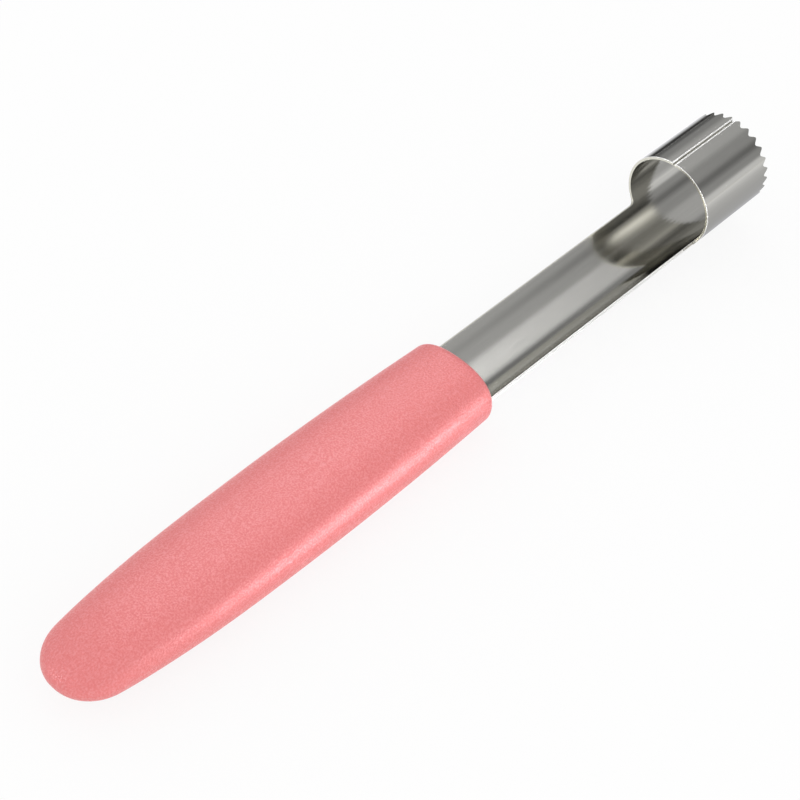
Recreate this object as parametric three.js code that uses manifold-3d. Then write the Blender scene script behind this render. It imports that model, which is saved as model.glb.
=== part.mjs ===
// Apple corer: one stamped and rolled steel blade held in one moulded plastic handle.
// Millimetres. X runs along the tool towards the cutting teeth and Z is up.
// The pieces are drawn with the tube's axis on X and the handle's front face at x = 0,
// then moved together so that the middle of the part's underside is the origin.
import * as THREE from "three";
import { mergeVertices } from "three/addons/utils/BufferGeometryUtils.js";
import Module from "manifold-3d";

const { clamp, degToRad, lerp, smoothstep } = THREE.MathUtils;

// Blade: the cutter tube and the trough behind it are one sheet rolled to one radius
const TUBE_RADIUS = 10.5; // outside of the sheet
const TUBE_NARROWING = 0.1; // drop in radius from the tube's rear rim to its teeth
const TUBE_LENGTH = 20.9; // rear rim to tooth tips
const SHEET = 0.6; // steel thickness
const TROUGH_LENGTH = 64.8; // handle front to the tube's rear rim
const TROUGH_HALF_ANGLE = degToRad(55.1); // from straight down to each trough edge
const CORNER_RADIUS = 1; // inside corner of the flat blank, between trough edge and rear rim
const SEAM_GAP = 0.5; // open butt seam along the top of the tube
const TOOTH_PITCHES = 26.8; // teeth round the blank; the seam cuts the last one short
const TOOTH_DEPTH = 1.25;
const TOOTH_BLUNT = 0.18; // share of the pitch that is flat at each tip and at each root

// Tang: the end of the same sheet inside the handle
const TANG_LENGTH = 54; // handle front to the tang's end
const TANG_HALF_ANGLE = degToRad(34);
const TANG_SHOULDER_INSET = 9; // full trough width runs this far into the handle
const TANG_SHOULDER_LENGTH = 6; // length over which the trough narrows to the tang
const KEY_HOLE_RADIUS = 2.2; // holes in the tang that the plastic passes through
const KEY_HOLE_END_SPACE = 8; // tang end to the nearer hole
const KEY_HOLE_SPACING = 16;

// Handle: half sizes at equal steps from the rear end to the front face
const HANDLE_LENGTH = 102;
const HALF_WIDTHS = [7.8, 10.55, 11.3, 11.1, 10.1];
const HALF_THICKNESSES = [5.25, 6.2, 6.8, 7.1, 7.15];
const REAR_ROUND_WIDTH = 8.2; // length over which the rear end closes in plan
const REAR_ROUND_THICKNESS = 17.3; // the same, seen from the side
const REAR_FULLNESS = 2.2; // superellipse exponent of the rear end
const SECTION_FULLNESS = 2.3; // superellipse exponent of the cross-section
const UNDERSIDE_FLAT = 0.015; // share of the half thickness levelled off underneath, to lie still
const FRONT_EDGE_RADIUS = 1.9;

// Fit and mesh fineness
const FIT = 0.3; // clearance between steel and plastic
const CUT_OVERRUN = 1; // how far a cutting body runs past the face it opens
const CORNER_STEPS = 5;
const SHOULDER_STEPS = 6;
const POCKET_COLUMNS = 32;
const NODE_SPACING = 0.004; // radians, closest two columns of the sheet may lie
const HOLE_SEGMENTS = 32;
const SECTION_POINTS = 60;
const REAR_STEPS = 14;
const BODY_STEPS = 16;
const EDGE_STEPS = 4;

// Shared values
const RIM_X = TROUGH_LENGTH;
const CORNER_X = RIM_X - CORNER_RADIUS;
const TIP_X = RIM_X + TUBE_LENGTH;
const SEAM_ANGLE = Math.PI - SEAM_GAP / 2 / TUBE_RADIUS;
const TOOTH_PITCH = (2 * SEAM_ANGLE) / TOOTH_PITCHES;
const SHEET_MIDDLE = TUBE_RADIUS - SHEET / 2;
const PARTING_Z = -SHEET_MIDDLE * Math.cos(TROUGH_HALF_ANGLE); // the mould parts at the trough's edges

const wasm = await Module();
wasm.setup();

function geometryOf(positions, index) {
  const geometry = new THREE.BufferGeometry();
  geometry.setAttribute("position", new THREE.Float32BufferAttribute(positions, 3));
  geometry.setIndex(index);
  return geometry;
}

function solidOf(geometry) {
  geometry.deleteAttribute("normal");
  geometry.deleteAttribute("uv");
  const welded = mergeVertices(geometry);
  const mesh = new wasm.Mesh({
    numProp: 3,
    vertProperties: welded.getAttribute("position").array,
    triVerts: Uint32Array.from(welded.index.array),
  });
  return new wasm.Manifold(mesh);
}

function meshOf(name, solid, material) {
  const { vertProperties, triVerts } = solid.getMesh();
  const geometry = geometryOf(vertProperties, Array.from(triVerts));
  geometry.computeVertexNormals();
  const mesh = new THREE.Mesh(geometry, material);
  mesh.name = name;
  return mesh;
}

// Rolls a flat sheet about the X axis into one closed body.
// A patch is a grid of [angle, x] nodes, rows along x; patches share the nodes they have in common,
// and every free edge of the sheet is closed by a wall straight through its thickness.
function rollSheet(patches, outerRadius, innerRadius) {
  const nodes = [];
  const known = new Map();
  const nodeIndex = ([angle, x]) => {
    const key = `${angle.toFixed(6)} ${x.toFixed(5)}`;
    if (!known.has(key)) known.set(key, nodes.push([angle, x]) - 1);
    return known.get(key);
  };
  const triangles = [];
  for (const patch of patches) {
    const rows = patch.map((row) => row.map(nodeIndex));
    for (let i = 1; i < rows.length; i++) {
      for (let j = 1; j < rows[i].length; j++) {
        const [a, b, c, d] = [rows[i - 1][j - 1], rows[i - 1][j], rows[i][j], rows[i][j - 1]];
        triangles.push([a, b, c], [a, c, d]);
      }
    }
  }
  const rolled = (radius) => nodes.flatMap(([angle, x]) => {
    const r = radius(x);
    return [x, r * Math.sin(angle), -r * Math.cos(angle)];
  });
  const edgesOf = ([a, b, c]) => [[a, b], [b, c], [c, a]];
  const edges = triangles.flatMap(edgesOf);
  const directed = new Set(edges.map(([a, b]) => `${a} ${b}`));
  const free = edges.filter(([a, b]) => !directed.has(`${b} ${a}`));
  const under = nodes.length;
  const index = [
    ...triangles.flat(),
    ...triangles.flatMap(([a, b, c]) => [a + under, c + under, b + under]),
    ...free.flatMap(([a, b]) => [b, a, a + under, b, a + under, b + under]),
  ];
  return geometryOf([...rolled(outerRadius), ...rolled(innerRadius)], index);
}

// Edges of the flat blank
function rearEdge(angle) {
  const beyondTrough = (Math.abs(angle) - TROUGH_HALF_ANGLE) * TUBE_RADIUS;
  const toCentre = CORNER_RADIUS - clamp(beyondTrough, 0, CORNER_RADIUS);
  return CORNER_X + Math.sqrt(CORNER_RADIUS ** 2 - toCentre ** 2);
}

function frontEdge(angle) {
  const share = (((angle + SEAM_ANGLE) / TOOTH_PITCH) % 1 + 1) % 1;
  const fromRoot = 0.5 - Math.abs(share - 0.5) - TOOTH_BLUNT / 2;
  return TIP_X - TOOTH_DEPTH * (1 - clamp(fromRoot / (0.5 - TOOTH_BLUNT), 0, 1));
}

// Columns of the sheet: the seam, the trough edges, the corner arcs and every bend of the tooth line
function sheetColumns() {
  const fixed = [SEAM_ANGLE, -SEAM_ANGLE];
  for (let i = 0; i <= CORNER_STEPS; i++) {
    const along = CORNER_RADIUS * (1 - Math.cos((Math.PI / 2) * (i / CORNER_STEPS)));
    const angle = TROUGH_HALF_ANGLE + along / TUBE_RADIUS;
    fixed.push(angle, -angle);
  }
  const bends = [TOOTH_BLUNT / 2, 0.5 - TOOTH_BLUNT / 2, 0.5 + TOOTH_BLUNT / 2, 1 - TOOTH_BLUNT / 2];
  const teeth = [];
  for (let tooth = 0; tooth < TOOTH_PITCHES; tooth++) {
    teeth.push(...bends.map((bend) => -SEAM_ANGLE + (tooth + bend) * TOOTH_PITCH));
  }
  const onSheet = teeth.filter((angle) => angle < SEAM_ANGLE);
  const clear = onSheet.filter((angle) => fixed.every((other) => Math.abs(angle - other) > NODE_SPACING));
  return [...fixed, ...clear].sort((a, b) => a - b);
}

// The tang and trough strip, grown on every side by a margin, as rows of nodes up to endX.
function stripRows(shares, margin, endX) {
  const shoulderStart = -TANG_SHOULDER_INSET - TANG_SHOULDER_LENGTH;
  const xs = [-TANG_LENGTH - margin];
  for (let i = 0; i <= SHOULDER_STEPS; i++) {
    xs.push(shoulderStart + TANG_SHOULDER_LENGTH * (i / SHOULDER_STEPS));
  }
  xs.push(endX);
  return xs.map((x) => {
    const opened = smoothstep(x, shoulderStart, -TANG_SHOULDER_INSET);
    const halfAngle = lerp(TANG_HALF_ANGLE, TROUGH_HALF_ANGLE, opened) + margin / TUBE_RADIUS;
    return shares.map((share) => [share * halfAngle, x]);
  });
}

function keyHoles(radius) {
  const height = 2 * (SHEET + FIT + radius);
  const firstX = -TANG_LENGTH + KEY_HOLE_END_SPACE;
  const [first, second] = [firstX, firstX + KEY_HOLE_SPACING].map((x) => {
    const pin = new THREE.CylinderGeometry(radius, radius, height, HOLE_SEGMENTS);
    return solidOf(pin.rotateX(Math.PI / 2).translate(x, 0, -SHEET_MIDDLE));
  });
  return first.add(second);
}

function bladeSolid() {
  const columns = sheetColumns();
  const tube = [columns.map((a) => [a, rearEdge(a)]), columns.map((a) => [a, frontEdge(a)])];
  const troughColumns = columns.filter((a) => Math.abs(a) <= TROUGH_HALF_ANGLE);
  const trough = stripRows(troughColumns.map((a) => a / TROUGH_HALF_ANGLE), 0, CORNER_X);
  const narrowing = (x) => TUBE_NARROWING * clamp((x - CORNER_X) / (TIP_X - CORNER_X), 0, 1);
  const sheet = rollSheet(
    [trough, tube],
    (x) => TUBE_RADIUS - narrowing(x),
    (x) => TUBE_RADIUS - SHEET - narrowing(x),
  );
  return solidOf(sheet).subtract(keyHoles(KEY_HOLE_RADIUS));
}

// The space the tang takes in the handle, with the plugs of plastic that fill its holes left out.
function tangPocket() {
  const shares = Array.from({ length: POCKET_COLUMNS + 1 }, (_, i) => (2 * i) / POCKET_COLUMNS - 1);
  const strip = rollSheet(
    [stripRows(shares, FIT, CUT_OVERRUN)],
    () => TUBE_RADIUS + FIT,
    () => TUBE_RADIUS - SHEET - FIT,
  );
  return solidOf(strip).subtract(keyHoles(KEY_HOLE_RADIUS - FIT));
}

// Handle body: superellipse sections lofted from a closed rear end to a flat front face.
function handleBody() {
  const stations = HALF_WIDTHS.map((_, i) => (HANDLE_LENGTH * i) / (HALF_WIDTHS.length - 1));
  const halfSizes = HALF_WIDTHS.flatMap((width, i) => [width, HALF_THICKNESSES[i]]);
  const profile = new THREE.CubicInterpolant(stations, halfSizes, 2);
  const closing = (fromRear, length) => {
    const left = 1 - clamp(fromRear / length, 0, 1);
    return (1 - left ** REAR_FULLNESS) ** (1 / REAR_FULLNESS);
  };
  const power = (value) => Math.sign(value) * Math.abs(value) ** (2 / SECTION_FULLNESS);
  const section = (fromRear, inset) => {
    const [width, thickness] = profile.evaluate(fromRear);
    const halfWidth = width * closing(fromRear, REAR_ROUND_WIDTH) - inset;
    const halfThickness = thickness * closing(fromRear, REAR_ROUND_THICKNESS) - inset;
    return Array.from({ length: SECTION_POINTS }, (_, i) => {
      const turn = (2 * Math.PI * (i + 0.5)) / SECTION_POINTS;
      const y = halfWidth * power(Math.cos(turn));
      const z = halfThickness * Math.max(power(Math.sin(turn)), UNDERSIDE_FLAT - 1);
      return [fromRear - HANDLE_LENGTH, y, PARTING_Z + z];
    });
  };

  const quarter = (i, steps) => (Math.PI / 2) * (i / steps);
  const edgeStart = HANDLE_LENGTH - FRONT_EDGE_RADIUS;
  const lastSpan = stations.at(-2); // nearly straight from here on, so one step makes one long flat
  const rings = [];
  for (let i = 1; i < REAR_STEPS; i++) {
    rings.push(section(REAR_ROUND_THICKNESS * (1 - Math.cos(quarter(i, REAR_STEPS))), 0));
  }
  for (let i = 0; i <= BODY_STEPS; i++) {
    rings.push(section(lerp(REAR_ROUND_THICKNESS, lastSpan, i / BODY_STEPS), 0));
  }
  rings.push(section(edgeStart, 0));
  for (let i = 1; i <= EDGE_STEPS; i++) {
    const turn = quarter(i, EDGE_STEPS);
    const inset = FRONT_EDGE_RADIUS * (1 - Math.cos(turn));
    rings.push(section(edgeStart + FRONT_EDGE_RADIUS * Math.sin(turn), inset));
  }

  const positions = [...rings.flat(2), -HANDLE_LENGTH, 0, PARTING_Z, 0, 0, PARTING_Z];
  const rear = rings.length * SECTION_POINTS;
  const front = rear + 1;
  const last = rear - SECTION_POINTS;
  const index = [];
  for (let j = 0; j < SECTION_POINTS; j++) {
    const next = (j + 1) % SECTION_POINTS;
    index.push(rear, next, j, front, last + j, last + next);
    for (let ring = 0; ring < last; ring += SECTION_POINTS) {
      const [a, b] = [ring + j, ring + next];
      index.push(a, b, b + SECTION_POINTS, a, b + SECTION_POINTS, a + SECTION_POINTS);
    }
  }
  return solidOf(geometryOf(positions, index));
}

const steel = new THREE.MeshStandardMaterial({ color: 0xb9b9b5, roughness: 0.18, metalness: 1 });
const plastic = new THREE.MeshStandardMaterial({ color: 0xec9596, roughness: 0.5, metalness: 0 });

const corer = new THREE.Group();
corer.name = "apple_corer";
corer.add(meshOf("blade", bladeSolid(), steel));
corer.add(meshOf("handle", handleBody().subtract(tangPocket()), plastic));

const box = new THREE.Box3().setFromObject(corer);
const middle = box.getCenter(new THREE.Vector3());
for (const mesh of corer.children) mesh.geometry.translate(-middle.x, -middle.y, -box.min.z);

export default corer;
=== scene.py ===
import math

import bmesh
import bpy
from mathutils import Matrix, Vector


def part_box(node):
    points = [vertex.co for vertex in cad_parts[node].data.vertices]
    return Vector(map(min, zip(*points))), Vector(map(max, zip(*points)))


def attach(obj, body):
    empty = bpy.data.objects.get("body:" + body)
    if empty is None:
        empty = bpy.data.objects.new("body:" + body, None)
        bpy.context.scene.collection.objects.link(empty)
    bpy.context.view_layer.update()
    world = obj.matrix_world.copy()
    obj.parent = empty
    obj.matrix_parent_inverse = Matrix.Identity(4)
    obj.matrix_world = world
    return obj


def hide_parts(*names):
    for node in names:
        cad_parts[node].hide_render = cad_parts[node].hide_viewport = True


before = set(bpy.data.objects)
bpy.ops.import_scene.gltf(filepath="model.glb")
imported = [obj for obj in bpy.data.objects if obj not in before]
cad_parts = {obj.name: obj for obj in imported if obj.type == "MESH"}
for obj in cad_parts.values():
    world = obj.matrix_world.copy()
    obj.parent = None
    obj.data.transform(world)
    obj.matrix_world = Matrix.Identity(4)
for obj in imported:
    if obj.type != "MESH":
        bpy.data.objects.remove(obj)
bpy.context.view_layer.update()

BLADE_LOW = Vector(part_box("blade")[0])
HANDLE_HIGH = Vector(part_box("handle")[1])
MM = 0.001

# Sizes of the CAD part, in millimetres
TUBE_RADIUS = 10.5
TUBE_NARROWING = 0.1
TUBE_LENGTH = 20.9
SHEET = 0.6
TROUGH_LENGTH = 64.8
TROUGH_HALF_ANGLE = math.radians(55.1)
CORNER_RADIUS = 1.0
TOOTH_PITCHES = 26.8
TOOTH_DEPTH = 1.25
TANG_LENGTH = 54.0
TANG_HALF_ANGLE = math.radians(34.0)
TANG_SHOULDER_INSET = 9.0
TANG_SHOULDER_LENGTH = 6.0
KEY_HOLE_RADIUS = 2.2
KEY_HOLE_END_SPACE = 8.0
KEY_HOLE_SPACING = 16.0
HANDLE_LENGTH = 102.0
HALF_WIDTHS = (7.8, 10.55, 11.3, 11.1, 10.1)  # at even spaces from the rear end to the front
HALF_THICKNESSES = (5.25, 6.2, 6.8, 7.1, 7.15)
REAR_ROUND_WIDTH = 8.2  # length of the rear end's rounding, seen from above
REAR_ROUND_THICKNESS = 17.3  # the same, seen from the side
REAR_FULLNESS = 2.2  # power of the rear end's superellipses
SECTION_FULLNESS = 2.3  # power of the sections' superellipses
UNDERSIDE_FLAT = 0.015  # share of the half thickness that is levelled off below
FRONT_EDGE_RADIUS = 1.9

# Fine detail that only the render shows, in millimetres
SKIN = 0.02  # keeps the smooth surfaces inside the faceted CAD box
SIDE_BREAK = 0.16  # rounding of the edges along the trough's right side
RIM_BREAK = 0.1  # rounding of the rim's outer edge
SEAM_ROLL_RIGHT = 0.55  # rounding of the two edges along the seam
SEAM_ROLL_LEFT = 0.42
SEAM_GAP_REAR = 0.2
SEAM_GAP_FRONT = 0.13
TOOTH_BLUNT = 0.28  # rounding of tips and roots, as a share of the half pitch
MOULD_FIT = 0.04  # line between steel and plastic
FLASH_HEIGHT = 0.045  # raised parting line of the moulding
FLASH_WIDTH = 0.16
POCKET_OVERSHOOT = 2.0  # how far the pocket's cutter runs out of the handle's front face

# How finely the surfaces are divided
CORNER_STEPS = 10  # round each corner between trough and tube
TOOTH_STEPS = 12  # across each tooth
TUBE_STEPS = 12
TROUGH_STEPS = 24
SHOULDER_STEPS = 10
POCKET_STEPS = 6
POCKET_COLUMNS = 48
PIN_SEGMENTS = 40
ROLL_SEGMENTS = 4  # across each rounded edge
SECTION_POINTS = 132
REAR_RINGS, BODY_RINGS, FRONT_EDGE_RINGS = 30, 90, 8
BLADE_SHARP_ANGLE = math.radians(60)
HANDLE_SHARP_ANGLE = math.radians(40)

# Places along the tool are measured from the handle's front face, and heights from the tube's axis
RIM_X = TROUGH_LENGTH
CORNER_X = RIM_X - CORNER_RADIUS
TIP_X = RIM_X + TUBE_LENGTH
SHOULDER_X = -TANG_SHOULDER_INSET - TANG_SHOULDER_LENGTH
FRONT_OFFSET = HANDLE_HIGH.x / MM
PARTING_Z = -(TUBE_RADIUS - SHEET / 2) * math.cos(TROUGH_HALF_ANGLE)
AXIS_HEIGHT = BLADE_LOW.z / MM + TUBE_RADIUS

# Material slots of the blade
POLISHED, CUT_EDGE, ROUNDED_GLINT, SEAM_PAINTED_SHADE = 0, 1, 2, 3


def lerp(a, b, share):
    return a + (b - a) * share


def clamp(value, low=0.0, high=1.0):
    return max(low, min(high, value))


def smoothstep(value, low, high):
    share = clamp((value - low) / (high - low))
    return share * share * (3 - 2 * share)


def steps(start, end, count):
    return [lerp(start, end, i / count) for i in range(count + 1)]


def to_frame(x, y, z):
    return ((x + FRONT_OFFSET) * MM, y * MM, (z + AXIS_HEIGHT) * MM)


def new_object(name, vertices, faces):
    mesh = bpy.data.meshes.new(name)
    mesh.from_pydata([to_frame(*vertex) for vertex in vertices], [], faces)
    mesh.update()
    obj = bpy.data.objects.new(name, mesh)
    bpy.context.collection.objects.link(obj)
    return obj


def bake_modifiers(obj):
    depsgraph = bpy.context.evaluated_depsgraph_get()
    mesh = bpy.data.meshes.new_from_object(obj.evaluated_get(depsgraph))
    obj.modifiers.clear()
    obj.data = mesh


def cut(obj, cutter):
    modifier = obj.modifiers.new("cut", "BOOLEAN")
    modifier.operation = "DIFFERENCE"
    modifier.solver = "EXACT"
    modifier.object = cutter
    bake_modifiers(obj)
    bpy.data.objects.remove(cutter)


def shade_smooth(obj, sharp_angle):
    obj.data.polygons.foreach_set("use_smooth", [True] * len(obj.data.polygons))
    obj.data.set_sharp_from_angle(angle=sharp_angle)


# Blade: a flat sheet of [angle, x] nodes rolled about the tube's axis
def roll_sheet(name, patches, outer_radius, inner_radius, wall_slot=lambda angle, x: POLISHED):
    nodes, known, quads = [], {}, []

    def index_of(node):
        """Nodes that two patches share are joined."""
        key = (round(node[0], 6), round(node[1], 5))
        if key not in known:
            known[key] = len(nodes)
            nodes.append(node)
        return known[key]

    for patch in patches:
        rows = [[index_of(node) for node in row] for row in patch]
        for low, high in zip(rows, rows[1:]):
            for j in range(len(low) - 1):
                quads.append((low[j], low[j + 1], high[j + 1], high[j]))
    edges = [(quad[i], quad[(i + 1) % 4]) for quad in quads for i in range(4)]
    directed = set(edges)
    free = [edge for edge in edges if edge[::-1] not in directed]
    under = len(nodes)
    faces = list(quads)
    faces += [tuple(i + under for i in reversed(quad)) for quad in quads]
    faces += [(b, a, a + under, b + under) for a, b in free]
    vertices = []
    for radius in (outer_radius, inner_radius):
        for angle, x in nodes:
            r = radius(x)
            vertices.append((x, r * math.sin(angle), -r * math.cos(angle)))
    sheet = new_object(name, vertices, faces)
    slots = [POLISHED] * (2 * len(quads)) + [wall_slot(*nodes[a]) for a, b in free]
    sheet.data.polygons.foreach_set("material_index", slots)
    return sheet


def seam_angle(x):
    gap = lerp(SEAM_GAP_REAR, SEAM_GAP_FRONT, clamp((x - RIM_X) / TUBE_LENGTH))
    return math.pi - gap / 2 / TUBE_RADIUS


REAR_SEAM_ANGLE = seam_angle(RIM_X)
TOOTH_PITCH = 2 * REAR_SEAM_ANGLE / TOOTH_PITCHES


def closed_up(angle, x):
    """The wings of the sheet drawn together towards the teeth, where the seam is narrower."""
    beyond = abs(angle) - TROUGH_HALF_ANGLE
    if beyond <= 0:
        return angle
    pull = (seam_angle(x) - TROUGH_HALF_ANGLE) / (REAR_SEAM_ANGLE - TROUGH_HALF_ANGLE)
    return math.copysign(TROUGH_HALF_ANGLE + beyond * pull, angle)


def rear_edge(angle):
    """The sheet's rear edge: a rounded corner next to the trough, then the straight rim."""
    beyond = (abs(angle) - TROUGH_HALF_ANGLE) * TUBE_RADIUS
    to_centre = CORNER_RADIUS - clamp(beyond, 0, CORNER_RADIUS)
    return CORNER_X + math.sqrt(CORNER_RADIUS ** 2 - to_centre ** 2)


def front_edge(angle):
    """The sheet's front edge: saw teeth with blunted tips and roots."""
    share = ((angle + REAR_SEAM_ANGLE) / TOOTH_PITCH) % 1
    fall = math.hypot(2 * share - 1, TOOTH_BLUNT)
    rise = math.hypot(1 - min(fall, 1), TOOTH_BLUNT) - TOOTH_BLUNT
    full = math.hypot(1 - TOOTH_BLUNT, TOOTH_BLUNT) - TOOTH_BLUNT
    return TIP_X - TOOTH_DEPTH * (1 - rise / full)


def sheet_columns():
    """Angles of the tube's columns: the corners' own, and even ones that leave room for rounded edges."""
    closest = 0.003
    seam_room = 1.2 * SEAM_ROLL_RIGHT / TUBE_RADIUS  # a little more than the rounding takes
    side_room = 2 * SIDE_BREAK / TUBE_RADIUS

    def clear(angle):
        beside = TROUGH_HALF_ANGLE - abs(angle)
        roomy = REAR_SEAM_ANGLE - abs(angle) > seam_room and not 0 < beside < side_room
        return roomy and all(abs(angle - other) > closest for other in fixed)

    fixed = [REAR_SEAM_ANGLE, -REAR_SEAM_ANGLE]
    for i in range(CORNER_STEPS + 1):
        along = CORNER_RADIUS * (1 - math.cos(math.pi / 2 * i / CORNER_STEPS))
        fixed += [TROUGH_HALF_ANGLE + along / TUBE_RADIUS, -TROUGH_HALF_ANGLE - along / TUBE_RADIUS]
    count = int(TOOTH_PITCHES * TOOTH_STEPS)
    even = [-REAR_SEAM_ANGLE + TOOTH_PITCH * i / TOOTH_STEPS for i in range(1, count + 1)]
    return sorted(fixed + [angle for angle in even if clear(angle)])


def strip_rows(shares, margin, xs):
    """Rows across tang and trough, with columns at shares of the half width."""
    rows = []
    for x in xs:
        opened = smoothstep(x, SHOULDER_X, -TANG_SHOULDER_INSET)
        half_angle = lerp(TANG_HALF_ANGLE, TROUGH_HALF_ANGLE, opened) + margin / TUBE_RADIUS
        rows.append([(share * half_angle, x) for share in shares])
    return rows


def strip_xs(start, end, end_steps):
    middle = lerp(start, SHOULDER_X, 0.5)
    shoulder = [SHOULDER_X + TANG_SHOULDER_LENGTH * i / SHOULDER_STEPS for i in range(SHOULDER_STEPS + 1)]
    return [start, middle] + shoulder + steps(-TANG_SHOULDER_INSET, end, end_steps)[1:]


def key_pins(name, radius):
    """Pins through the tang: cutters of its holes, or the plugs of plastic that fill them."""
    half_height = SHEET + MOULD_FIT + radius
    middle = -TUBE_RADIUS + SHEET / 2
    vertices, faces = [], []
    for pin in range(2):
        x = -TANG_LENGTH + KEY_HOLE_END_SPACE + pin * KEY_HOLE_SPACING
        first = len(vertices)
        for z in (-half_height, half_height):
            for i in range(PIN_SEGMENTS):
                turn = 2 * math.pi * i / PIN_SEGMENTS
                vertices.append((x + radius * math.cos(turn), radius * math.sin(turn), middle + z))
        low = [first + i for i in range(PIN_SEGMENTS)]
        high = [i + PIN_SEGMENTS for i in low]
        faces += [tuple(reversed(low)), tuple(high)]
        faces += [(low[i - 1], low[i], high[i], high[i - 1]) for i in range(PIN_SEGMENTS)]
    return new_object(name, vertices, faces)


def weigh_edges(mesh):
    """Marks the edges to be rounded: along the seam most, then the trough's right side and the rim."""
    near, same_angle = 0.01, 0.0025
    rim_start = TROUGH_HALF_ANGLE + CORNER_RADIUS / TUBE_RADIUS
    grid = bmesh.new()
    grid.from_mesh(mesh)
    weight = grid.edges.layers.float.new("bevel_weight_edge")
    for edge in grid.edges:
        xs, angles, outside = [], [], []
        for vertex in edge.verts:
            y, z = vertex.co.y / MM, vertex.co.z / MM - AXIS_HEIGHT
            xs.append(vertex.co.x / MM - FRONT_OFFSET)
            angles.append(abs(math.atan2(y, -z)))
            outside.append(math.hypot(y, z) > TUBE_RADIUS - SHEET / 2)
        if outside[0] != outside[1]:
            continue
        on_right = edge.verts[0].co.y < 0
        along_seam = all(angle > seam_angle(x) - near for x, angle in zip(xs, angles))
        along_rim = min(angles) > rim_start - near and max(abs(x - RIM_X) for x in xs) < near
        off_side = max(abs(angle - TROUGH_HALF_ANGLE) for angle in angles)
        along_side = off_side < same_angle and max(xs) < CORNER_X + near
        radius = 0.0
        if along_seam and outside[0]:
            radius = SEAM_ROLL_RIGHT if on_right else SEAM_ROLL_LEFT
        elif along_rim and outside[0]:
            radius = RIM_BREAK
        elif along_side and on_right:
            radius = SIDE_BREAK
        edge[weight] = radius / SEAM_ROLL_RIGHT
    grid.to_mesh(mesh)
    grid.free()


def mark_seam_shade(mesh):
    """The walls of the seam, with the lower half of the left wing's rounding, get a rougher steel whose
    dark colour is painted shade in the crevice.
    """
    upright = 0.7
    for polygon in mesh.polygons:
        x = polygon.center.x / MM - FRONT_OFFSET
        y, z = polygon.center.y, polygon.center.z - AXIS_HEIGHT * MM
        beside = (seam_angle(x) - abs(math.atan2(y, -z))) * TUBE_RADIUS
        if polygon.material_index == POLISHED or x < RIM_X or beside > SEAM_ROLL_LEFT:
            continue
        radial = Vector((0, y, z)).normalized()
        standing = radial.dot(polygon.normal) < upright and abs(polygon.normal.x) < upright
        if standing and (y > 0 or polygon.material_index == CUT_EDGE):
            polygon.material_index = SEAM_PAINTED_SHADE


def set_round_normals(mesh):
    """Gives the polished faces the true normals of the rolled sheet, up to its edges."""
    normals = [corner.vector.copy() for corner in mesh.corner_normals]
    on_sheet = 0.7
    for polygon in mesh.polygons:
        if polygon.material_index != POLISHED:
            continue
        for loop in polygon.loop_indices:
            place = mesh.vertices[mesh.loops[loop].vertex_index].co
            radial = Vector((0, place.y, place.z - AXIS_HEIGHT * MM)).normalized()
            facing = radial.dot(polygon.normal)
            if abs(facing) > on_sheet:
                normals[loop] = radial if facing > 0 else -radial
    mesh.normals_split_custom_set(normals)


def narrowing(x):
    return TUBE_NARROWING * clamp((x - CORNER_X) / (TIP_X - CORNER_X))


def blade_outer_radius(x):
    return TUBE_RADIUS - SKIN - narrowing(x)


def blade_inner_radius(x):
    return TUBE_RADIUS - SKIN - SHEET - narrowing(x)


def blade_wall_slot(angle, x):
    """The trough's right side is rounded over, in the nearly white steel of a painted highlight, and all
    other edges of the sheet are cut.
    """
    return ROUNDED_GLINT if angle < 0 and x < CORNER_X else CUT_EDGE


def make_blade(materials):
    columns = sheet_columns()
    tube = []
    for i in range(TUBE_STEPS + 1):
        row = []
        for angle in columns:
            x = lerp(rear_edge(angle), front_edge(angle), i / TUBE_STEPS)
            row.append((closed_up(angle, x), x))
        tube.append(row)
    shares = [angle / TROUGH_HALF_ANGLE for angle in columns if abs(angle) <= TROUGH_HALF_ANGLE]
    trough = strip_rows(shares, 0, strip_xs(-TANG_LENGTH, CORNER_X, TROUGH_STEPS))
    blade = roll_sheet("corer_blade", [trough, tube],
                       blade_outer_radius, blade_inner_radius, blade_wall_slot)
    for material in materials:
        blade.data.materials.append(material)
    cut(blade, key_pins("tang_holes", KEY_HOLE_RADIUS))
    weigh_edges(blade.data)
    bevel = blade.modifiers.new("edge_break", "BEVEL")
    bevel.width = SEAM_ROLL_RIGHT * MM
    bevel.segments = ROLL_SEGMENTS
    bevel.limit_method = "WEIGHT"
    bevel.use_clamp_overlap = False
    bevel.material = ROUNDED_GLINT
    bake_modifiers(blade)
    mark_seam_shade(blade.data)
    shade_smooth(blade, BLADE_SHARP_ANGLE)
    set_round_normals(blade.data)
    return blade


# Handle: superellipse sections from a closed rear end to a flat front face
def half_sizes(from_rear):
    """Half width and half thickness, on smooth cubic curves through the named values."""
    step = HANDLE_LENGTH / (len(HALF_WIDTHS) - 1)
    i = int(clamp(math.floor(from_rear / step), 0, len(HALF_WIDTHS) - 2))
    p = from_rear / step - i
    sizes = []
    for values in (HALF_WIDTHS, HALF_THICKNESSES):
        a, b = values[i], values[i + 1]
        start = (b - values[i - 1]) / 2 if i > 0 else None
        end = (values[i + 2] - a) / 2 if i + 2 < len(values) else None
        start = (3 * (b - a) - end) / 2 if start is None else start
        end = (3 * (b - a) - start) / 2 if end is None else end
        cubic = (2 * (a - b) + start + end) * p ** 3 + (3 * (b - a) - 2 * start - end) * p ** 2
        sizes.append(cubic + start * p + a)
    return sizes


def closing(from_rear, length):
    """How far the rounded rear end has opened, from 0 at its tip to 1."""
    left = 1 - clamp(from_rear / length)
    return (1 - left ** REAR_FULLNESS) ** (1 / REAR_FULLNESS)


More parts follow.
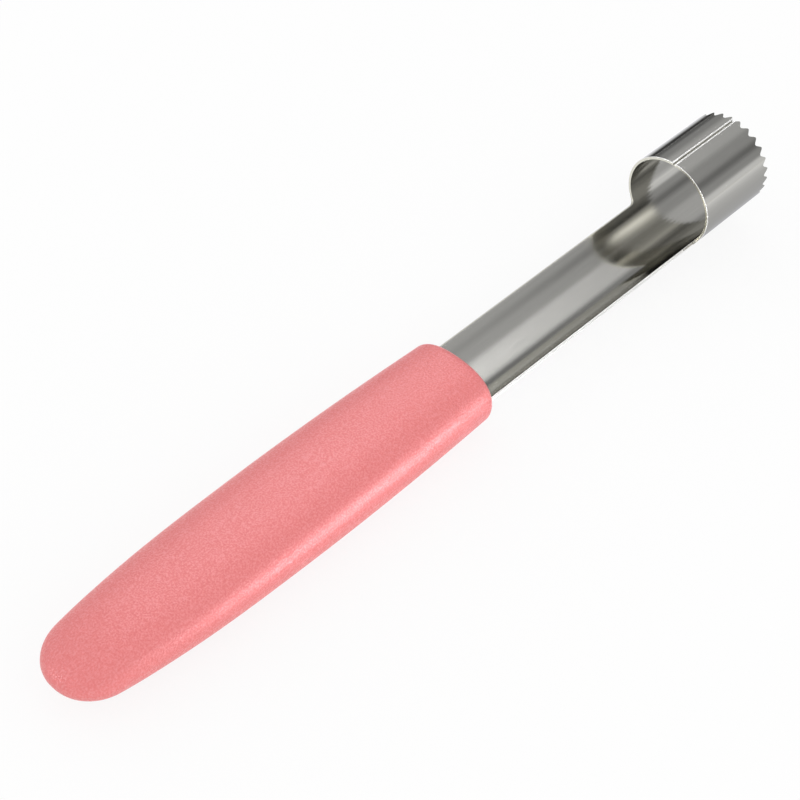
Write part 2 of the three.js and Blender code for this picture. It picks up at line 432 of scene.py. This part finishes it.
def section_turns():
    """Even turns round the handle, with a few more close to the parting line on both sides."""
    close_by = (0.0, 0.0025, 0.006, 0.011, 0.018, 0.028)
    same_turn = 1e-6
    turns = {2 * math.pi * i / SECTION_POINTS for i in range(SECTION_POINTS)}
    for side in (0.0, math.pi):
        turns |= {(side + sign * offset) % (2 * math.pi) for offset in close_by for sign in (-1, 1)}
    ordered = sorted(turns)
    return [turn for i, turn in enumerate(ordered) if i == 0 or turn - ordered[i - 1] > same_turn]


def handle_ring(from_rear, inset, turns):
    width, thickness = half_sizes(from_rear)
    half_width = width * closing(from_rear, REAR_ROUND_WIDTH) - inset - SKIN - FLASH_HEIGHT
    half_thickness = thickness * closing(from_rear, REAR_ROUND_THICKNESS) - inset - SKIN
    power = 2 / SECTION_FULLNESS
    ring = []
    for turn in turns:
        c, s = math.cos(turn), math.sin(turn)
        z = max(math.copysign(abs(s) ** power, s), UNDERSIDE_FLAT - 1) * half_thickness
        flash = FLASH_HEIGHT * math.exp(-(z / FLASH_WIDTH) ** 2)
        y = math.copysign(abs(c) ** power * half_width + flash, c)
        ring.append((from_rear - HANDLE_LENGTH, y, PARTING_Z + z))
    return ring


def handle_rings(turns):
    edge_start = HANDLE_LENGTH - FRONT_EDGE_RADIUS
    rings = []
    for i in range(1, REAR_RINGS):
        along = REAR_ROUND_THICKNESS * (1 - math.cos(math.pi / 2 * i / REAR_RINGS))
        rings.append(handle_ring(along, 0, turns))
    for along in steps(REAR_ROUND_THICKNESS, edge_start, BODY_RINGS):
        rings.append(handle_ring(along, 0, turns))
    for i in range(1, FRONT_EDGE_RINGS + 1):
        turn = math.pi / 2 * i / FRONT_EDGE_RINGS
        inset = FRONT_EDGE_RADIUS * (1 - math.cos(turn))
        rings.append(handle_ring(edge_start + FRONT_EDGE_RADIUS * math.sin(turn), inset, turns))
    return rings


def tang_pocket():
    """The room that the tang takes in the handle, less the plugs of plastic in its holes."""
    shares = [2 * i / POCKET_COLUMNS - 1 for i in range(POCKET_COLUMNS + 1)]
    xs = strip_xs(-TANG_LENGTH - MOULD_FIT, POCKET_OVERSHOOT, POCKET_STEPS)
    pocket = roll_sheet("tang_pocket", [strip_rows(shares, MOULD_FIT, xs)],
                        lambda x: TUBE_RADIUS + MOULD_FIT, lambda x: TUBE_RADIUS - SHEET - MOULD_FIT)
    cut(pocket, key_pins("tang_plugs", KEY_HOLE_RADIUS - MOULD_FIT))
    return pocket


def make_handle(material):
    turns = section_turns()
    count = len(turns)
    vertices = [vertex for ring in handle_rings(turns) for vertex in ring]
    rear = len(vertices)
    vertices.append((-HANDLE_LENGTH + SKIN, 0, PARTING_Z))
    faces = [(rear, (j + 1) % count, j) for j in range(count)]
    for first in range(0, rear - count, count):
        for j in range(count):
            a, b = first + j, first + (j + 1) % count
            faces.append((a, b, b + count, a + count))
    faces.append(tuple(range(rear - count, rear)))
    handle = new_object("corer_handle", vertices, faces)
    handle.data.materials.append(material)
    cut(handle, tang_pocket())
    shade_smooth(handle, HANDLE_SHARP_ANGLE)
    return handle


# Materials
STEEL_DARK, STEEL_LIGHT = (0.450, 0.441, 0.400, 1), (0.496, 0.486, 0.441, 1)
CUT_DARK, CUT_LIGHT = (0.62, 0.60, 0.50, 1), (0.72, 0.70, 0.60, 1)
# Nearly white edge steel: a painted highlight where the rounded edges catch the light
ROUNDED_GLINT_DARK, ROUNDED_GLINT_LIGHT = (0.84, 0.83, 0.79, 1), (0.96, 0.955, 0.93, 1)
# Darker steel for the seam's walls: painted shade in the crevice
SEAM_SHADE_DARK, SEAM_SHADE_LIGHT = (0.34, 0.33, 0.28, 1), (0.44, 0.43, 0.37, 1)
PLASTIC_DARK, PLASTIC_LIGHT = (0.735, 0.184, 0.184, 1), (0.805, 0.236, 0.236, 1)


def new_material(name):
    material = bpy.data.materials.new(name)
    material.use_nodes = True
    nodes = material.node_tree.nodes
    shader = next(node for node in nodes if node.type == "BSDF_PRINCIPLED")
    return material, nodes, material.node_tree.links, shader


def set_inputs(node, values):
    for name, value in values.items():
        node.inputs[name].default_value = value


def add_node(nodes, kind, values):
    node = nodes.new(kind)
    set_inputs(node, values)
    return node


def add_ramp(nodes, dark_place, dark, light_place, light):
    ramp = nodes.new("ShaderNodeValToRGB")
    for element, place, colour in zip(ramp.color_ramp.elements, (dark_place, light_place), (dark, light)):
        element.position = place
        element.color = colour
    return ramp


def steel_material():
    """Polished sheet with fine lines along its rolling direction and slight waves."""
    material, nodes, links, shader = new_material("polished_steel")
    set_inputs(shader, {"Metallic": 1.0, "Anisotropic": 0.25})
    coords = nodes.new("ShaderNodeTexCoord")
    rolling = add_node(nodes, "ShaderNodeMapping", {"Scale": (0.03, 1.0, 1.0)})
    links.new(coords.outputs["Object"], rolling.inputs["Vector"])
    lines = add_node(nodes, "ShaderNodeTexNoise", {"Scale": 4200.0, "Detail": 3.0})
    links.new(rolling.outputs["Vector"], lines.inputs["Vector"])
    waves = add_node(nodes, "ShaderNodeTexNoise", {"Scale": 130.0, "Detail": 1.0})
    links.new(coords.outputs["Object"], waves.inputs["Vector"])

    tint = add_ramp(nodes, 0.0, STEEL_DARK, 1.0, STEEL_LIGHT)
    links.new(lines.outputs["Fac"], tint.inputs["Fac"])
    links.new(tint.outputs["Color"], shader.inputs["Base Color"])
    gloss = add_node(nodes, "ShaderNodeMapRange", {"To Min": 0.09, "To Max": 0.15})
    links.new(lines.outputs["Fac"], gloss.inputs["Value"])
    links.new(gloss.outputs["Result"], shader.inputs["Roughness"])

    fine = add_node(nodes, "ShaderNodeBump", {"Strength": 0.05, "Distance": 0.00002})
    links.new(lines.outputs["Fac"], fine.inputs["Height"])
    coarse = add_node(nodes, "ShaderNodeBump", {"Strength": 0.06, "Distance": 0.0003})
    links.new(waves.outputs["Fac"], coarse.inputs["Height"])
    links.new(fine.outputs["Normal"], coarse.inputs["Normal"])
    links.new(coarse.outputs["Normal"], shader.inputs["Normal"])
    return material


def edge_material(name, metallic, dark, light, smooth, rough):
    """Steel of the sheet's edges, mottled by small burrs."""
    material, nodes, links, shader = new_material(name)
    set_inputs(shader, {"Metallic": metallic})
    coords = nodes.new("ShaderNodeTexCoord")
    burrs = add_node(nodes, "ShaderNodeTexNoise", {"Scale": 5200.0, "Detail": 2.0})
    links.new(coords.outputs["Object"], burrs.inputs["Vector"])

    tint = add_ramp(nodes, 0.3, dark, 0.7, light)
    links.new(burrs.outputs["Fac"], tint.inputs["Fac"])
    links.new(tint.outputs["Color"], shader.inputs["Base Color"])
    gloss = add_node(nodes, "ShaderNodeMapRange", {"To Min": smooth, "To Max": rough})
    links.new(burrs.outputs["Fac"], gloss.inputs["Value"])
    links.new(gloss.outputs["Result"], shader.inputs["Roughness"])
    return material


def plastic_material():
    """Moulded plastic with a fine grain, whose raised specks glint."""
    material, nodes, links, shader = new_material("pink_plastic")
    set_inputs(shader, {"Roughness": 0.42, "Specular IOR Level": 0.35})
    set_inputs(shader, {"Coat Roughness": 0.33, "Coat IOR": 1.65})
    coords = nodes.new("ShaderNodeTexCoord")
    grain = add_node(nodes, "ShaderNodeTexNoise", {"Scale": 2900.0, "Detail": 1.0, "Roughness": 0.6})
    links.new(coords.outputs["Object"], grain.inputs["Vector"])

    tint = add_ramp(nodes, 0.3, PLASTIC_DARK, 0.7, PLASTIC_LIGHT)
    links.new(grain.outputs["Fac"], tint.inputs["Fac"])
    links.new(tint.outputs["Color"], shader.inputs["Base Color"])
    glints = add_node(nodes, "ShaderNodeMapRange", {"From Min": 0.44, "From Max": 0.66, "To Max": 0.65})
    links.new(grain.outputs["Fac"], glints.inputs["Value"])
    links.new(glints.outputs["Result"], shader.inputs["Coat Weight"])

    bump = add_node(nodes, "ShaderNodeBump", {"Strength": 1.0, "Distance": 0.0001})
    links.new(grain.outputs["Fac"], bump.inputs["Height"])
    links.new(bump.outputs["Normal"], shader.inputs["Normal"])
    links.new(bump.outputs["Normal"], shader.inputs["Coat Normal"])
    return material


blade = make_blade([
    steel_material(),
    edge_material("cut_edge_steel", 1.0, CUT_DARK, CUT_LIGHT, 0.18, 0.3),
    # the rounded edges, nearly white as a painted highlight
    edge_material("rounded_edge_painted_glint", 0.45, ROUNDED_GLINT_DARK, ROUNDED_GLINT_LIGHT, 0.35, 0.5),
    # the seam's walls, darkened as painted shade
    edge_material("seam_painted_shade_steel", 1.0, SEAM_SHADE_DARK, SEAM_SHADE_LIGHT, 0.3, 0.45),
])
handle = make_handle(plastic_material())

for piece, node, slot in ((blade, "blade", "steel"), (handle, "handle", "plastic")):
    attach(piece, "root")
    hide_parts(node)

# Stage: a pale floor, seen and mirrored almost white, that keeps a soft shadow
FLOOR_HALF = 4.0
FLOOR_CLEARANCE = 0.0002
FLOOR_COLOUR = (0.92, 0.92, 0.92, 1)
FLOOR_WHITE = 0.86  # how far the floor is lifted to plain white where it is seen or mirrored


def stage_object(name, vertices, faces, material):
    mesh = bpy.data.meshes.new(name)
    mesh.from_pydata(vertices, [], faces)
    obj = bpy.data.objects.new(name, mesh)
    mesh.materials.append(material)
    bpy.context.collection.objects.link(obj)
    return obj


def floor_material():
    material, nodes, links, shader = new_material("white_floor")
    set_inputs(shader, {"Base Color": FLOOR_COLOUR, "Roughness": 0.9, "Specular IOR Level": 0.0})
    path = nodes.new("ShaderNodeLightPath")
    seen = None
    for ray in ("Is Camera Ray", "Is Glossy Ray", "Is Transmission Ray"):
        joined = nodes.new("ShaderNodeMath")
        joined.operation = "MAXIMUM"
        joined.inputs[1].default_value = 0.0
        links.new(path.outputs[ray], joined.inputs[0])
        if seen:
            links.new(seen.outputs["Value"], joined.inputs[1])
        seen = joined
    lift = nodes.new("ShaderNodeMath")
    lift.operation = "MULTIPLY"
    lift.inputs[1].default_value = FLOOR_WHITE
    links.new(seen.outputs["Value"], lift.inputs[0])
    white = nodes.new("ShaderNodeEmission")
    mixed = nodes.new("ShaderNodeMixShader")
    links.new(lift.outputs["Value"], mixed.inputs["Fac"])
    links.new(shader.outputs["BSDF"], mixed.inputs[1])
    links.new(white.outputs["Emission"], mixed.inputs[2])
    out = next(node for node in nodes if node.type == "OUTPUT_MATERIAL")
    links.new(mixed.outputs["Shader"], out.inputs["Surface"])
    return material


def make_floor():
    corners = ((-1, -1), (1, -1), (1, 1), (-1, 1))
    places = [(x * FLOOR_HALF, y * FLOOR_HALF, -FLOOR_CLEARANCE) for x, y in corners]
    stage_object("floor", places, [(0, 1, 2, 3)], floor_material())


make_floor()

# Studio tent: a soft half-cylinder over the tool. It lights the tool plainly, and what the tool mirrors
# of it is panels that change along it. Angles run from straight up towards -Y, in degrees. Levels are the
# light that a panel adds or takes away at five places along the tent: over the tool, a little in front of
# it, in front, far in front, and at its dark end.
TENT_RADIUS = 0.75
TENT_START, TENT_END = -1.3, 1.6
TENT_ANGLE_STEP = 2
TENT_STRETCHES = ((-1.22, -0.58, 32), (0.02, 1.22, 60))  # from, to and steps, where levels change
TENT_PLACES = (0.08, 0.30, 0.46, 0.74, 1.2)
TENT_BASE = (0.85, 3.25, 0.69, 0.48, 0.07)
PANELS = (
    # from, to, softness, levels
    (-50, 6, 8, (0.35, 0.0, 0.48, 0.19, 0.0)),  # softbox overhead
    (-76, -57, 6, (-0.25, -2.8, -0.40, -0.08, 0.0)),  # shade between softbox and left wall
    (-100, -76, 5, (-0.25, -2.8, 0.0, -0.30, 0.0)),  # foot of the left wall
    (16, 100, 8, (-0.2, -3.15, 0.0, 0.0, 0.0)),  # open side on the right
    (39, 56, 8, (-0.2, 0.0, -0.08, -0.24, 0.0)),  # gap to the right of the softbox
    (77, 100, 5, (0.2, 0.0, 0.08, 0.60, 0.0)),  # right wall
)
# Lamps overhead and behind the rear end: from, to and softness in angle, then along the tent, and level
LAMPS = (
    ((-40, -8, 14), (0.34, 0.40, 0.04), 18.0),
    ((-54, -32, 8), (-1.14, -0.86, 0.08), 18.0),
)
# Plain light on the tool, a little more from the sides
FILL_LEVEL, FILL_LEFT, FILL_RIGHT = 0.81, 0.64, 0.92
FILL_RISE, FILL_FULL = 10, 90  # angles between which the sides' share grows
# The tent is a little cool where it is mirrored
PLAIN_COLOUR = (1, 1, 1, 1)
MIRRORED_COLOUR = (0.97, 0.98, 1.03, 1)


def band(value, low, high, softness):
    rise = smoothstep(value, low - softness, low + softness)
    return rise * (1 - smoothstep(value, high - softness, high + softness))


def along_tent(x, levels):
    level = levels[0]
    for i in range(1, len(levels)):
        level = lerp(level, levels[i], smoothstep(x, TENT_PLACES[i - 1], TENT_PLACES[i]))
    return level


def tent_mirrored(x, degrees):
    level = along_tent(x, TENT_BASE)
    for low, high, softness, levels in PANELS:
        level += along_tent(x, levels) * band(degrees, low, high, softness)
    for angles, places, lamp_level in LAMPS:
        level += lamp_level * band(degrees, *angles) * band(x, *places)
    return max(level, 0.0)


def tent_fill(_, degrees):
    left = smoothstep(-degrees, FILL_RISE, FILL_FULL)
    right = smoothstep(degrees, FILL_RISE, FILL_FULL)
    return FILL_LEVEL + FILL_LEFT * left + FILL_RIGHT * right


def stretches(parts):
    return [place for part in parts for place in steps(*part)]


def glow_sheet(name, rows, mirrored, fill=None):
    """A glowing grid of points: rows of [place, u, v], with levels read from u and v."""
    width = len(rows[0])
    points = [point for row in rows for point in row]
    faces = []
    for first in range(0, len(points) - width, width):
        for i in range(first, first + width - 1):
            faces.append((i, i + 1, i + 1 + width, i + width))
    material = bpy.data.materials.new(name)
    material.use_nodes = True
    nodes, links = material.node_tree.nodes, material.node_tree.links
    nodes.clear()
    path = nodes.new("ShaderNodeLightPath")
    chosen = nodes.new("ShaderNodeMix")
    links.new(path.outputs["Is Glossy Ray"], chosen.inputs["Factor"])
    sheet = stage_object(name, [place for place, u, v in points], faces, material)
    for attribute, socket, level in (("fill_level", "A", fill), ("mirrored_level", "B", mirrored)):
        if level:
            values = [level(u, v) for place, u, v in points]
            sheet.data.attributes.new(attribute, "FLOAT", "POINT").data.foreach_set("value", values)
            reader = nodes.new("ShaderNodeAttribute")
            reader.attribute_name = attribute
            links.new(reader.outputs["Fac"], chosen.inputs[socket])
    tint = nodes.new("ShaderNodeMix")
    tint.data_type = "RGBA"
    set_inputs(tint, {"A": PLAIN_COLOUR, "B": MIRRORED_COLOUR})
    links.new(path.outputs["Is Glossy Ray"], tint.inputs["Factor"])
    glow = nodes.new("ShaderNodeEmission")
    links.new(tint.outputs["Result"], glow.inputs["Color"])
    links.new(chosen.outputs["Result"], glow.inputs["Strength"])
    out = nodes.new("ShaderNodeOutputMaterial")
    links.new(glow.outputs["Emission"], out.inputs["Surface"])
    material.cycles.emission_sampling = "NONE"
    sheet.visible_camera = False
    return sheet


def make_tent():
    xs = [TENT_START] + stretches(TENT_STRETCHES) + [TENT_END]
    rows = []
    for degrees in range(-90, 91, TENT_ANGLE_STEP):
        turn = math.radians(degrees)
        y, z = -TENT_RADIUS * math.sin(turn), TENT_RADIUS * math.cos(turn)
        rows.append([((x, y, z), x, degrees) for x in xs])
    glow_sheet("studio_tent", rows, tent_mirrored, tent_fill)
    end_rows = [[(row[-1][0], 0, 0), ((TENT_END, 0, 0), 0, 0)] for row in rows]
    glow_sheet("tent_end", end_rows, lambda u, v: TENT_BASE[-1], lambda u, v: FILL_LEVEL)


make_tent()


# Cards that only mirrored rays meet
def mirror_only(sheet):
    sheet.visible_diffuse = False
    sheet.visible_shadow = False


# Card lying under and round the tube, seen only in reflections, with the floor's shade painted on it:
# grey on the right, falling to black on the left, and a painted bright spot where light falls through the
# tube. Stretches are from, to and steps.
CARD_HEIGHT = 0.0001
CARD_REAR, CARD_FULL, FLOOR_MIRRORED = 0.0, 0.07, 0.98  # the card blends into the floor at its rear
CARD_LENGTHWAYS = ((CARD_REAR, CARD_FULL, 14), (0.08, 0.15, 28))
CARD_ACROSS = ((-0.30, -0.02, 14), (-0.018, 0.05, 34), (0.06, 0.18, 12))
CARD_FRONT, CARD_LEFT = 0.6, 0.6
RIGHT_NEAR, RIGHT_GAIN, RIGHT_REACH = 0.53, 0.77, 0.09
LEFT_NEAR, LEFT_FAR, LEFT_START, LEFT_END = 1.1, 0.06, 0.02, 0.1
SPOT_X, SPOT_Y, SPOT_LENGTH, SPOT_WIDTH, SPOT_LEVEL = 0.108, 0.011, 0.016, 0.010, 2.1


def painted_floor_level(x, y):
    if y < 0:
        level = RIGHT_NEAR + RIGHT_GAIN * (1 - math.exp(y / RIGHT_REACH))
    else:
        near = lerp(RIGHT_NEAR, LEFT_NEAR, smoothstep(y, 0, LEFT_START))
        level = lerp(near, LEFT_FAR, smoothstep(y, LEFT_START, LEFT_END))
    off_spot = ((x - SPOT_X) / SPOT_LENGTH) ** 2 + ((y - SPOT_Y) / SPOT_WIDTH) ** 2
    level += SPOT_LEVEL * math.exp(-off_spot)
    return lerp(FLOOR_MIRRORED, level, smoothstep(x, CARD_REAR, CARD_FULL))


def make_painted_floor_card():
    xs = stretches(CARD_LENGTHWAYS) + [CARD_FRONT]
    ys = stretches(CARD_ACROSS) + [CARD_LEFT]
    rows = [[((x, y, CARD_HEIGHT), x, y) for x in xs] for y in ys]
    mirror_only(glow_sheet("painted_floor_card", rows, painted_floor_level))


make_painted_floor_card()

# White card standing right of the handle, fading towards its rear and its top
WHITE_Y, WHITE_HEIGHT, WHITE_LEVEL = -0.06, 0.028, 18.0
WHITE_REAR, WHITE_FULL, WHITE_FRONT = -0.08, -0.025, 0.045
WHITE_COLUMNS, WHITE_ROWS = 24, 8


def white_level(x, z):
    fade = 1 - smoothstep(z, WHITE_HEIGHT / 3, WHITE_HEIGHT)
    return WHITE_LEVEL * smoothstep(x, WHITE_REAR, WHITE_FULL) * fade


def make_white_card():
    xs = steps(WHITE_REAR, WHITE_FRONT, WHITE_COLUMNS)
    zs = steps(0, WHITE_HEIGHT, WHITE_ROWS)
    rows = [[((x, WHITE_Y, z), x, z) for x in xs] for z in zs]
    mirror_only(glow_sheet("white_card", rows, white_level))


make_white_card()

# World seen beyond the floor's edge
WORLD_COLOUR = (0.97, 0.97, 0.97, 1)
world = bpy.data.worlds.new("studio")
bpy.context.scene.world = world
world.use_nodes = True
background = next(node for node in world.node_tree.nodes if node.type == "BACKGROUND")
background.inputs["Color"].default_value = WORLD_COLOUR

# Camera at the photograph's viewing angle, set from the middle of the tube's rear rim
RIM_CENTRE = Vector(to_frame(RIM_X, 0, 0))
CAMERA_PLACE = RIM_CENTRE + Vector((-0.273163, -0.171575, 0.277569))
CAMERA_AIM = RIM_CENTRE + Vector((-0.078001, 0.003043, -0.004303))
CAMERA_ROLL = math.radians(2.477)
LENS, SENSOR_WIDTH = 90.0, 36.0  # in millimetres
CLIP_START = 0.01


def make_camera():
    data = bpy.data.cameras.new("camera")
    data.lens = LENS
    data.sensor_width = SENSOR_WIDTH
    data.clip_start = CLIP_START
    camera = bpy.data.objects.new("camera", data)
    bpy.context.collection.objects.link(camera)
    facing = (CAMERA_AIM - CAMERA_PLACE).to_track_quat("-Z", "Y").to_matrix()
    turned = facing @ Matrix.Rotation(CAMERA_ROLL, 3, "Z")
    camera.matrix_world = Matrix.Translation(CAMERA_PLACE) @ turned.to_4x4()
    return camera


bpy.context.scene.camera = make_camera()

bpy.context.scene.view_settings.view_transform = "Standard"

bpy.context.view_layer.update()
